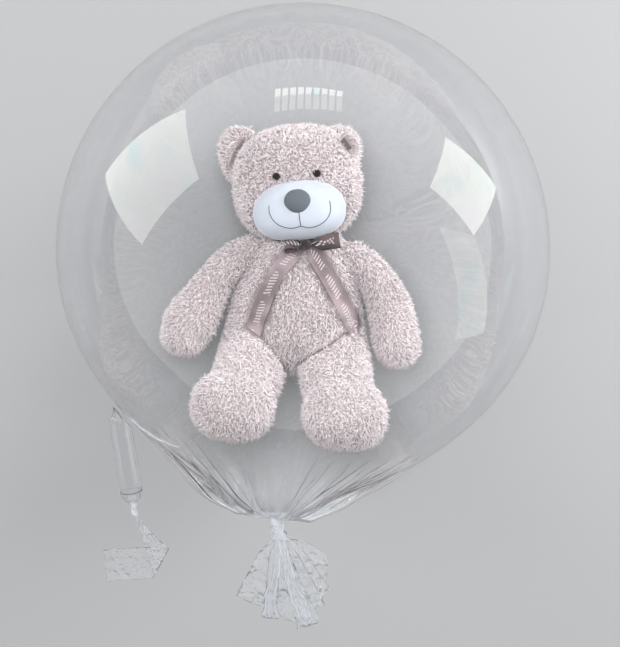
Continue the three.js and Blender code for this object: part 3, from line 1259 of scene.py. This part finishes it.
def tubeAlong(name, line, radius, material):
    line = np.array(line)
    sides = 8
    angles = np.linspace(0, 2 * math.pi, sides, endpoint=False)[:, None]
    rings = []
    for middle, tangent in zip(line, np.gradient(line, axis=0)):
        tangent = tangent / np.linalg.norm(tangent)
        across = np.cross(tangent, (0, 0, 1))
        across /= np.linalg.norm(across)
        up = np.cross(across, tangent)
        rings.append(middle + radius * (np.cos(angles) * across + np.sin(angles) * up))
    return closedPiece(name, withEnds(np.array(rings)) * mm, material)


def makeFace():
    v, b = velourSettings, bearSettings
    velour = napMaterial("muzzleVelour", v["colour"], 0.85, 0.5, v["napScale"], 0.0002)
    felt = napMaterial("noseFelt", v["noseColour"], 0.9, 0.25, v["napScale"] * 0.7, 0.0012)
    thread = napMaterial("mouthThread", v["mouthColour"], 0.75, 0.1, v["napScale"] * 2, 0.0002)
    turn = rad(b["faceTurn"])
    muzzle = plumpBall(
        "bearMuzzle", b["muzzleMiddle"], b["muzzleHalf"], b["muzzlePower"], turn, velour, 96, 60, muzzleShape
    )
    skin = skinTree(muzzle)
    place, normal = onSkin(skin, *v["noseAt"], -3.0)
    nose = plumpBall("bearNose", place, v["noseHalf"], 2.25, turn, felt, 56, 34, noseShape)
    mouths = []
    for k, stitch in enumerate(v["stitches"]):
        line = [onSkin(skin, x, y, 0.15)[0] for x, y in splinePoints(stitch, 34)]
        mouths.append(tubeAlong(f"mouthStitch{k}", line, v["stitchRadius"], thread))
    mouth = joined(mouths, "bearMouth")
    beads = beadMaterial()
    eyes = []
    for k, (x, y) in enumerate(v["eyesAt"]):
        place, normal = onSkin(skins["bearHead"], x, y, 3.4)
        half = (v["eyeRadius"], v["eyeRadius"], v["eyeRadius"] * 0.85)
        eyes.append(plumpBall(f"bearEye{k}", place, half, 2, 0, beads, 28, 18))
    return muzzle, nose, mouth, eyes


bearMuzzle, bearNose, bearMouth, bearEyes = makeFace()
print("face made")


# satin ribbon: collar, bow and two tails

ribbonSettings = {
    "colour": (0.155, 0.12, 0.124, 1),
    # the second colour of each satin is its sheen, painted in bands: painted sheen
    "paintedSheenColour": (0.33, 0.262, 0.278, 1),
    # the bow, knot and collar are the same ribbon as the tails, painted darker: painted shade
    "bowShadedColour": (0.018, 0.012, 0.012, 1),
    "bowPaintedSheenColour": (0.115, 0.083, 0.086, 1),
    "markColour": (0.66, 0.60, 0.62, 1),
    "width": 20,
    "collarWidth": 12.4,  # that the ribbon is gathered to round the neck
    "collarPleats": 3,
    "collarPleatSlope": 1.87,  # so that the way across the pleats is the ribbon's full width
    "thickness": 0.35,
    "lift": 6.8,  # of the tails above the skin, on top of the pile
    "leftTail": [(-3, 8), (-13, 1), (-29, -17), (-42, -41), (-52, -66), (-62, -96)],
    "rightTail": [(6, 8), (13, 2), (22, -12), (34, -33), (47, -57), (57, -79), (64.5, -106)],
    "tailRows": 210,
    "tailColumns": 37,
    "tailOpensBy": 14,
    "tailSmoothing": 55,
    "leftLoop": {
        "root": (0, 11, 141),
        "angle": 182,
        "length": 23,
        "tilt": 38,
        "height": 8,
        "width": 18,
        "opening": 2.2,
    },
    "rightLoop": {
        "root": (6, 12, 141),
        "angle": 9,
        "length": 38,
        "tilt": -8,
        "height": 4,
        "width": 19,
        "opening": 5,
    },
    "knot": {"place": (3, 11.5, 142), "half": (6, 6.2, 5)},
    "collar": {"place": (-3, 29, 84), "half": (46.5, 38.5), "tip": 6},
}
# groups of plain slanted dashes down the middle of the ribbon stand for its print
markSettings = {
    "repeat": 40,
    "group": 31,
    "height": 3.6,
    "heightSway": 0.8,
    "swayRate": 1.9,
    "slant": 0.5,
    "spacing": 4.0,
    "stroke": 1.15,
}


def satinMaterial(name, colour, paintedSheenColour):
    material, tree, shader = newMaterial(
        name,
        **{
            "Roughness": 0.34,
            "Sheen Weight": 0.4,
            "Sheen Roughness": 0.3,
            "Anisotropic": 0.5,
            "Specular IOR Level": 0.55,
        },
    )
    ribbonMap = addNode(tree, "ShaderNodeUVMap", uv_map="ribbonMap").outputs["UV"]
    # fine crosswise ribs
    ribs = addNode(
        tree,
        "ShaderNodeTexWave",
        {"Vector": ribbonMap, "Scale": 0.9, "Distortion": 0.3},
        wave_type="BANDS",
        bands_direction="Y",
    )
    # light and dark bands of the satin's sheen, painted into its colour: painted sheen
    paintedSheenSweep = addNoise(tree, Scale=34.0, Detail=1.5)
    paintedSheenBands = addRange(tree, paintedSheenSweep, 0.0, 1.0, 0.32, 0.66, interpolation_type="SMOOTHSTEP")
    clothWithPaintedSheen = addNode(tree, "ShaderNodeMix", {"Factor": paintedSheenBands, "A": colour, "B": paintedSheenColour}, data_type="RGBA")
    mark = addNode(tree, "ShaderNodeAttribute", attribute_name="mark").outputs["Fac"]
    colours = {"Factor": mark, "A": clothWithPaintedSheen.outputs["Result"], "B": ribbonSettings["markColour"]}
    printed = addNode(tree, "ShaderNodeMix", colours, data_type="RGBA")
    tree.links.new(printed.outputs["Result"], shader.inputs["Base Color"])
    addBump(tree, shader, ribs.outputs["Fac"], 0.25, 0.0002)
    return material


satin = satinMaterial("satinRibbon", ribbonSettings["colour"], ribbonSettings["paintedSheenColour"])
# a darker copy of the ribbon's satin for the bow, knot and collar: painted shade
bowSatin = satinMaterial("bowSatin", ribbonSettings["bowShadedColour"], ribbonSettings["bowPaintedSheenColour"])


def stripMesh(name, grid, lengths, material):
    # grid: rows along x points across; the map counts millimetres across and along
    rows, columns = grid.shape[:2]
    piece = newPiece(name, (grid * mm).reshape(-1, 3), gridFaces(rows, columns), material)
    layer = piece.data.uv_layers.new(name="ribbonMap")
    for loop in piece.data.loops:
        row, column = divmod(loop.vertex_index, columns)
        layer.data[loop.index].uv = (column / (columns - 1) * ribbonSettings["width"], lengths[row])
    return piece


def markAt(across, along):
    m = markSettings
    group = along % m["repeat"]
    if group > m["group"] or abs(across) > m["height"] + m["heightSway"] * math.sin(group * m["swayRate"]):
        return 0.0
    return 1.0 if (group + across * m["slant"]) % m["spacing"] < m["stroke"] else 0.0


def addMarks(piece, marked=True):
    half = ribbonSettings["width"] / 2
    corners = piece.data.uv_layers["ribbonMap"].data
    values = [markAt(corner.uv[0] - half, corner.uv[1]) if marked else 0.0 for corner in corners]
    addValues(piece, "mark", "CORNER", values)


bodySkins = [skins[name] for name in ["bearTorso", "bearLeftLeg", "bearRightLeg"]]


def overBody(x, y, lift):
    heights = []
    for tree in bodySkins:
        hit, *rest = tree.ray_cast(Vector((x * mm, y * mm, 0.4)), straightDown)
        if hit:
            heights.append(hit.z / mm)
    return max(heights) + lift


def layTail(name, line, cut):
    # its length is measured along the line as seen from above, without the rise and fall over the skin
    r = ribbonSettings
    path = splinePoints(line, r["tailRows"])
    lengths = lengthsAlong(path)
    tangents = np.gradient(path, axis=0)
    tangents /= np.linalg.norm(tangents, axis=1)[:, None]
    across = np.linspace(-1, 1, r["tailColumns"])
    grid = np.zeros((len(path), len(across), 3))
    for k, ((x, y), (tx, ty)) in enumerate(zip(path, tangents)):
        half = r["width"] / 2 * (0.5 + 0.5 * ramp(lengths[k], 0, r["tailOpensBy"]))
        for c, a in enumerate(across):
            back = cut(a) * ramp(lengths[k] / lengths[-1], 0.6, 1)
            px, py = x - ty * a * half - tx * back, y + tx * a * half - ty * back
            grid[k, c] = (px, py, overBody(px, py, r["lift"]))
    bow = 1.5 * np.sin(lengths / 23)[:, None] * across[None, :] + 0.9 * across[None, :] ** 2
    grid[..., 2] = smoothed(grid[..., 2], r["tailSmoothing"])
    grid[..., 2] += bow + 4 * np.exp(-lengths / 10)[:, None]
    tail = stripMesh(name, grid, lengths, satin)
    addMarks(tail)
    thicken(tail, r["thickness"] * mm)
    return tail, lengths[-1]


def pointedCut(a):
    return 25 * abs(a) ** 1.1


def slantedCut(a):
    return 3.5 * (1 - a)


def ribbonLoop(name, root, angle, length, tilt, height, width, opening):
    # out along the top, round the end and back underneath, pinched at the root
    rows, columns = 100, 27
    across = np.linspace(-1, 1, columns)
    direction = np.array([math.cos(rad(angle)), math.sin(rad(angle)), 0])
    side = np.array([-direction[1], direction[0], 0])
    side = side * math.cos(rad(tilt)) + np.array([0, 0, 1]) * math.sin(rad(tilt))
    up = np.cross(direction, side)
    grid, centres = np.zeros((rows, columns, 3)), []
    for k in range(rows):
        t = k / (rows - 1) * 2 - 1
        out = length * (1 - abs(t) ** opening)
        arch = math.sin(math.pi * (1 - abs(t)) ** 0.7) * 0.75 + 0.25 * (1 - t * t)
        rise = height * arch * (1 if t < 0 else -0.35)
        pinch = 0.3 + 0.7 * ramp(out, 0, length * 0.5)
        pleat = 1.3 * (1 - ramp(out, 0, length * 0.75)) * np.cos(across * 8)
        centre = np.array(root) + direction * out + up * rise
        grid[k] = centre + side * (across * width / 2 * pinch)[:, None] + up * pleat[:, None]
        centres.append(centre)
    lengths = lengthsAlong(centres)
    loop = stripMesh(name, grid, lengths, bowSatin)
    addMarks(loop)
    thicken(loop, ribbonSettings["thickness"] * mm)
    return loop, lengths[-1]


def makeKnot(place, half):
    knot = plumpBall("ribbonKnot", place, half, 2.3, rad(10), bowSatin, 72, 40)
    layer = knot.data.uv_layers.new(name="ribbonMap")
    for loop in knot.data.loops:
        co = knot.data.vertices[loop.vertex_index].co / mm
        layer.data[loop.index].uv = (co.y + 10, co.x)
    for vertex in knot.data.vertices:
        x, y, z = vertex.co / mm - Vector(place)
        fold = 0.5 * abs(math.sin(1.1 * y + 0.5 * x))
        vertex.co += Vector((x, 0, z)).normalized() * fold * mm
    addMarks(knot)
    return knot


def makeCollar(place, half, tip):
    # round the neck, under the chin, a little lower in front
    rows, columns = 160, 49
    across = np.linspace(-1, 1, columns)
    wide = ribbonSettings["collarWidth"] / 2
    turns = math.pi * ribbonSettings["collarPleats"]  # of the pleats, for each half width
    depth = ribbonSettings["collarPleatSlope"] * wide / turns
    grid, centres = np.zeros((rows + 1, columns, 3)), []
    for k in range(rows + 1):
        a = 2 * math.pi * k / rows
        x, z = half[0] * math.cos(a), half[1] * math.sin(a)
        centre = np.array([place[0] + x, place[1] - tip * math.sin(a), place[2] + z])
        out = np.array([math.cos(a), 0, math.sin(a)])
        grid[k] = centre + np.array([0, 1, 0]) * (across * wide)[:, None]
        grid[k] += out * (depth * np.cos(across * turns + 2 * a))[:, None]
        centres.append(centre)
    lengths = lengthsAlong(centres)
    collar = stripMesh("ribbonCollar", grid, lengths, bowSatin)
    addMarks(collar, False)
    thicken(collar, ribbonSettings["thickness"] * mm)
    outwards(collar)
    return collar, lengths[-1]


leftTail, leftLength = layTail("ribbonLeftTail", ribbonSettings["leftTail"], slantedCut)
rightTail, rightLength = layTail("ribbonRightTail", ribbonSettings["rightTail"], pointedCut)
leftLoop, leftLoopLength = ribbonLoop("ribbonLeftLoop", **ribbonSettings["leftLoop"])
rightLoop, rightLoopLength = ribbonLoop("ribbonRightLoop", **ribbonSettings["rightLoop"])
ribbonKnot = makeKnot(**ribbonSettings["knot"])
ribbonCollar, collarLength = makeCollar(**ribbonSettings["collar"])
for piece, length in [
    (leftTail, leftLength),
    (rightTail, rightLength),
    (leftLoop, leftLoopLength),
    (rightLoop, rightLoopLength),
    (ribbonCollar, collarLength),
]:
    print(piece.name, "is", round(length), "mm long")


# woven label on the right ear

labelSettings = {"at": (50, 135), "size": (7.5, 15), "turn": 37, "colour": (0.11, 0.097, 0.09, 1), "lift": 8.5}


def makeLabel():
    s = labelSettings
    weave = napMaterial("labelWeave", s["colour"], 0.7, 0.2, 1600.0, 0.0002)
    place, normal = onSkin(skins["bearRightEar"], *s["at"], s["lift"])
    columns, rows = 7, 13
    points = []
    for r in range(rows):
        for c in range(columns):
            x = (c / (columns - 1) - 0.5) * s["size"][0]
            y = (r / (rows - 1) - 0.5) * s["size"][1]
            turned = Matrix.Rotation(rad(s["turn"]), 3, "Z") @ Vector((x, y, 0))
            bow = 0.9 * math.cos(y / s["size"][1] * math.pi)
            points.append((np.array(turned) + place + (0, 0, bow)) * mm)
    label = newPiece("earLabel", points, gridFaces(rows, columns), weave)
    thicken(label, 0.5 * mm)
    return label


earLabel = makeLabel()
ribbonTrees = [skinTree(piece) for piece in [leftTail, rightTail, leftLoop, rightLoop, ribbonKnot, earLabel]]


# sewn lines where the belly meets the legs: both are creased, and the right one's thread shows

seamLines = {
    "left": [(-52, -98), (-40, -112), (-29, -127), (-22, -141)],
    "right": [(54, -92), (32, -108), (8, -122), (-6, -132)],
    "threadColour": (0.12, 0.09, 0.088, 1),
    "threadRadius": 0.34,
    "lift": 0.9,
    "clear": 0.9,
    "sunken": 3.6,
    "least": 0.3,
}
earCrease = {
    "line": [(-74, 140), (-80, 131), (-85, 121), (-88.5, 111)],
    "clear": 1.4,
    "sunken": 5.0,
    "least": 0.1,
}


def makeBellySeam():
    s = seamLines
    thread = napMaterial("seamThread", s["threadColour"], 0.8, 0.1, 1800.0, 0.0002)
    lines = []
    for side in ["left", "right"]:
        line = np.array([(x, y, overBody(x, y, s["lift"])) for x, y in splinePoints(s[side], 60)])
        line[:, 2] = smoothed(line[:, 2], 10)
        lines.append(line)
    return tubeAlong("bellySeam", lines[1], s["threadRadius"], thread), np.concatenate(lines)


bellySeam, seamPoints = makeBellySeam()
creasePoints = splinePoints(earCrease["line"], 40)
print("belly seam sewn")


# pile grown on every furred part

pilePlaces = {
    "buriedDepth": 2.5,
    "eyeClear": (4, 10.5),
    "eyeLeast": 0.3,
    "ribbonClear": 4.0,
    "ribbonReach": 13,
    "underRibbon": 0.45,
    "creasesAbove": 84,
}


def rising(away, least, start, end):
    return least + (1 - least) * float(ramp(away, start, end))


def pileFor(name):
    p = pilePlaces
    others = [tree for key, tree in skins.items() if key != name] + [muzzleSkin]
    eyes = [Vector(eye.data.vertices[0].co) for eye in bearEyes]

    def pileAt(place):
        point = Vector(place) * mm
        if buriedIn(point, others, p["buriedDepth"] * mm):
            return 0.0
        share = min(rising((eye - point).length / mm, p["eyeLeast"], *p["eyeClear"]) for eye in eyes)
        for tree in ribbonTrees:
            hit, normal, face, distance = tree.find_nearest(point)
            aside = abs(hit.x - point.x) + abs(hit.y - point.y)
            if distance < p["ribbonReach"] * mm and aside < p["ribbonClear"] * mm:
                share = min(share, p["underRibbon"])
        if place[2] > p["creasesAbove"]:
            for line, dip in [(seamPoints, seamLines), (creasePoints, earCrease)]:
                away = np.hypot(line[:, 0] - place[0], line[:, 1] - place[1]).min()
                share = min(share, rising(away, dip["least"], dip["clear"], dip["sunken"]))
        return share

    return pileAt


muzzleSkin = skinTree(bearMuzzle)
for order, (name, (piece, flow)) in enumerate(furred.items()):
    growPile(piece, {**shortPile, "Flow": flow, "Seed": pileSettings["seed"] + order}, pileFor(name))
    print(name, "pile grown,", len(piece.data.polygons), "faces")
for kind in list(lockCollection.objects):
    bpy.data.objects.remove(kind)
bpy.data.collections.remove(lockCollection)


# floor, lights and room

stageSettings = {
    "floorColour": (0.295, 0.297, 0.303, 1),
    "floorHalf": 6,
    "zenith": 0.30,
    "horizon": 0.95,
    "aimedAt": (0, -0.05, 0.2),
    # each light's place, size and power
    "lights": {
        "leftBox": ((-1.7, 0.9, 0.9), (0.9, 1.5), 22),
        "rightBox": ((1.7, 0.75, 0.8), (0.9, 1.4), 54),
        "overhead": ((-0.2, 0.3, 3.2), (1.6, 1.6), 100),
    },
    # each panel's glow and corners
    "panels": {
        "leftPanel": (
            3.2,
            [(-0.544, 0.652, 0.491), (-0.612, 0.404, 0.922), (-0.845, 0.013, 0.659), (-0.761, 0.296, 0.214)],
        ),
        "rightPanel": (
            4.2,
            [(0.643, 0.505, 0.497), (0.762, 0.250, 0.301), (0.816, 0.062, 0.566), (0.689, 0.328, 0.797)],
        ),
        "rightScreen": (
            1.7,
            [(1.091, 0.165, 0.980), (1.112, 0.087, 0.601), (1.034, -0.488, 0.232), (0.984, -0.611, 0.503)],
        ),
    },
    # the lamp's lower edge, the bend between its two rows of slats and its upper edge
    "lampEdges": [
        ((-0.315, 1.813, 0.902), (0.478, 1.780, 0.897)),
        ((-0.325, 1.765, 1.040), (0.477, 1.748, 0.986)),
        ((-0.351, 1.663, 1.277), (0.499, 1.647, 1.225)),
    ],
    "lampGlows": {"slatLamp": 5.0, "slatLampFront": 2.4},
    "slats": 9,
    "slatGap": 0.25,
}


def makeStage():
    s = stageSettings
    material = newMaterial("floorPaint", **{"Base Color": s["floorColour"], "Roughness": 0.85})[0]
    half = s["floorHalf"]
    corners = [(-half, -half, 0), (half, -half, 0), (half, half, 0), (-half, half, 0)]
    floor = newPiece("floor", corners, [(0, 1, 2, 3)], material)
    world = bpy.data.worlds.new("room")
    world.use_nodes = True
    tree = world.node_tree
    # brightest near the horizon, like white walls round a darker ceiling
    place = addNode(tree, "ShaderNodeTexCoord").outputs["Generated"]
    up = addNode(tree, "ShaderNodeSeparateXYZ", {"Vector": place}).outputs["Z"]
    walls = addRange(tree, up, s["horizon"], s["zenith"], 0.15, 0.85, interpolation_type="SMOOTHSTEP")
    tree.links.new(walls, tree.nodes["Background"].inputs["Strength"])
    tree.nodes["Background"].inputs["Color"].default_value = (1, 1, 1, 1)
    bpy.context.scene.world = world


def softLight(name, place, target, size, power):
    # lights the matt surfaces; the film mirrors the panels below instead
    data = bpy.data.lights.new(name, "AREA")
    data.shape = "RECTANGLE"
    data.size, data.size_y = size
    data.energy = power
    light = bpy.data.objects.new(name, data)
    light.location = place
    light.rotation_euler = (Vector(target) - Vector(place)).to_track_quat("-Z", "Y").to_euler()
    light.visible_camera = light.visible_glossy = light.visible_transmission = False
    bpy.context.scene.collection.objects.link(light)
    return light


def glowPanel(name, quads, glow):
    # a large soft box, seen only in the film and the beads; its cover is slightly pearly
    material = bpy.data.materials.new(name)
    material.use_nodes = True
    tree = material.node_tree
    tree.nodes.clear()
    path = addNode(tree, "ShaderNodeLightPath")
    mirrored = addMaths(tree, "LESS_THAN", path.outputs["Diffuse Depth"], 0.5)
    pearl = [(0.32, (0.62, 0.93, 0.92, 1)), (0.5, (0.95, 1.0, 0.88, 1)), (0.7, (1.0, 0.95, 0.98, 1))]
    cover = addTones(tree, addNoise(tree, Scale=4.5, Detail=2.0), pearl)
    strength = addMaths(tree, "MULTIPLY", mirrored, glow)
    shine = addNode(tree, "ShaderNodeEmission", {"Color": cover, "Strength": strength})
    addNode(tree, "ShaderNodeOutputMaterial", {"Surface": shine.outputs["Emission"]})
    corners = [corner for quad in quads for corner in quad]
    panel = newPiece(name, corners, [range(4 * k, 4 * k + 4) for k in range(len(quads))], material)
    panel.visible_camera = panel.visible_diffuse = panel.visible_shadow = False


def slats(low, high):
    # upright bars side by side; low and high are the ends of the bars' lower and upper edges
    count, gap = stageSettings["slats"], stageSettings["slatGap"]
    quads = []
    for k in range(count):
        left, right = k / count, (k + 1 - gap) / count
        corners = [(low, left), (low, right), (high, right), (high, left)]
        quads.append([Vector(edge[0]).lerp(Vector(edge[1]), share) for edge, share in corners])
    return quads


def lightStage():
    s = stageSettings
    for name, (place, size, power) in s["lights"].items():
        softLight(name, place, s["aimedAt"], size, power)
    for name, (glow, corners) in s["panels"].items():
        glowPanel(name, [corners], glow)
    for k, (name, glow) in enumerate(s["lampGlows"].items()):
        glowPanel(name, slats(s["lampEdges"][k], s["lampEdges"][k + 1]), glow)


makeStage()
lightStage()
print("stage lit")

for piece in [bubbleFilm, fanFilm, tubeFilm, weldedSeam]:
    piece.visible_shadow = False

bpy.context.scene.view_settings.view_transform = "Standard"

furredPieces = [piece for piece, flow in furred.values()]
facePieces = [bearMuzzle, bearNose, bearMouth] + bearEyes
ribbonPieces = [leftTail, rightTail, leftLoop, rightLoop, ribbonKnot, ribbonCollar]
filmPieces = [bubbleFilm, fanFilm, tubeFilm, weldedSeam]
for piece in filmPieces + [earLabel, bellySeam] + furredPieces + facePieces + ribbonPieces:
    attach(piece, "root")
for piece in bearEyes:
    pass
for piece in [bubbleFilm, fanFilm, weldedSeam]:
    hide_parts("bubble_film")
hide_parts("inflation_tube")
